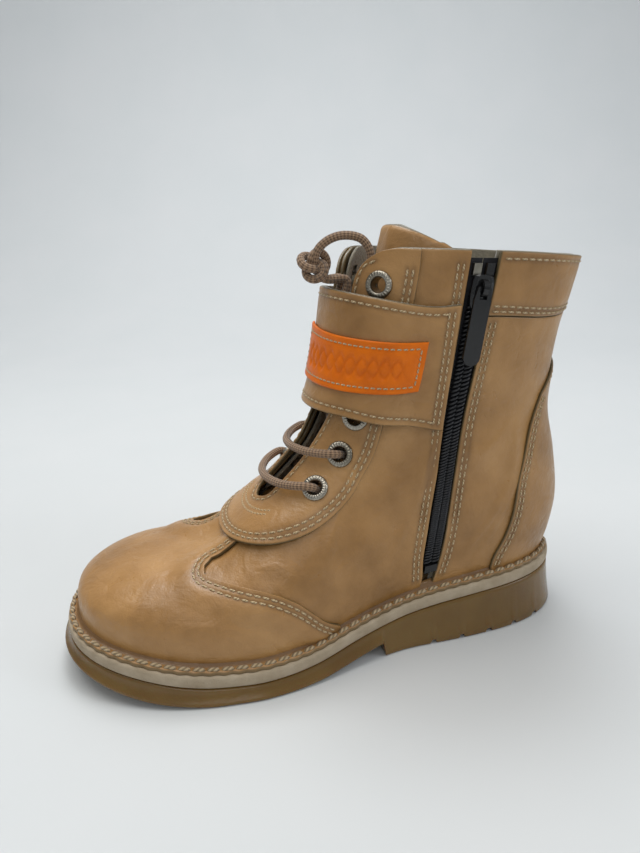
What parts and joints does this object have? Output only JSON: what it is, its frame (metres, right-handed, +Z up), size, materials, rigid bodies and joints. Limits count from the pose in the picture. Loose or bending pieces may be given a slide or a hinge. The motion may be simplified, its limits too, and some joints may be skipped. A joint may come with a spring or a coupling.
{
  "type": "ankle boot",
  "caption": "Child's tan leather orthopaedic ankle boot, laced, with a wide wrap strap and an inner side zip.",
  "frame": {"origin": "centre of the bounding box in plan, on the ground under the sole", "axes": "+Y towards the heel, +X to the medial (inner) side of the right boot, +Z up"},
  "size_m": [0.086, 0.1934, 0.1516],
  "materials": {
    "welt": "matte",
    "gum": "satin",
    "steel": "brushed",
    "board": "matte",
    "tan_leather": "waxed nubuck",
    "bed_leather": "smooth",
    "felt_lining": "felted",
    "stiffener": "matte",
    "foam": "open foam",
    "orange_label": "smooth",
    "nickel": "antique nickel",
    "black_fasteners": "woven",
    "black_plastic": "satin",
    "black_metal": "gloss",
    "lace_cord": "braided"
  },
  "bodies": {
    "boot": {"midsole_welt_band": "welt", "outsole": "gum", "shank": "steel", "insole_board": "board", "vamp": "tan_leather", "quarter_medial_front": "tan_leather", "quarter_medial_rear": "tan_leather", "quarter_lateral": "tan_leather", "collar_band": "tan_leather", "heel_piece": "tan_leather", "eyestay": "tan_leather", "footbed": "bed_leather", "vamp_lining": "felt_lining", "lining_medial_front": "felt_lining", "lining_medial_rear": "felt_lining", "lining_lateral": "felt_lining", "toe_puff": "stiffener", "heel_stiffener": "stiffener", "eyelet_medial_1": "nickel", "eyelet_medial_2": "nickel", "eyelet_medial_3": "nickel", "eyelet_medial_4": "nickel", "eyelet_medial_5": "nickel", "eyelet_medial_6": "nickel", "eyelet_lateral_1": "nickel", "eyelet_lateral_2": "nickel", "eyelet_lateral_3": "nickel", "eyelet_lateral_4": "nickel", "eyelet_lateral_5": "nickel", "eyelet_lateral_6": "nickel", "zip_top_stop_front": "nickel", "zip_top_stop_rear": "nickel", "zip_bottom_stop": "nickel", "strap_loop_pad": "black_fasteners", "zip_tape_front": "black_fasteners", "zip_tape_rear": "black_fasteners", "zip_coil_front": "black_plastic", "zip_coil_rear": "black_plastic", "lace": "lace_cord"},
    "strap": {"strap": "tan_leather", "strap_lining": "felt_lining", "strap_hook_pad": "black_fasteners", "label": "orange_label"},
    "tongue": {"tongue_outer": "tan_leather", "tongue_foam": "foam", "tongue_lining": "felt_lining"},
    "slider": {"zip_slider": "black_metal"},
    "pull_tab": {"zip_pull_tab": "black_metal"}
  },
  "joints": [
    {"name": "strap_hinge", "type": "hinge", "parent": "boot", "child": "strap", "pos_m": [0.02894, 0.03719, 0.10268], "axis": [0.057, 0.1005, 0.9933], "range_deg": [0, 90]},
    {"name": "tongue_hinge", "type": "hinge", "parent": "boot", "child": "tongue", "pos_m": [0.0005, -0.0215, 0.0485], "axis": [-1, 0, 0], "range_deg": [0, 14]},
    {"name": "zip_slide", "type": "slide", "parent": "boot", "child": "slider", "axis": [-0.032, -0.1249, -0.9917], "range_m": [0, 0.079]},
    {"name": "pull_tab_hinge", "type": "hinge", "parent": "slider", "child": "pull_tab", "pos_m": [0.03367, 0.04554, 0.12853], "axis": [-0.0608, -0.9898, 0.1287], "range_deg": [0, 165]}
  ]
}
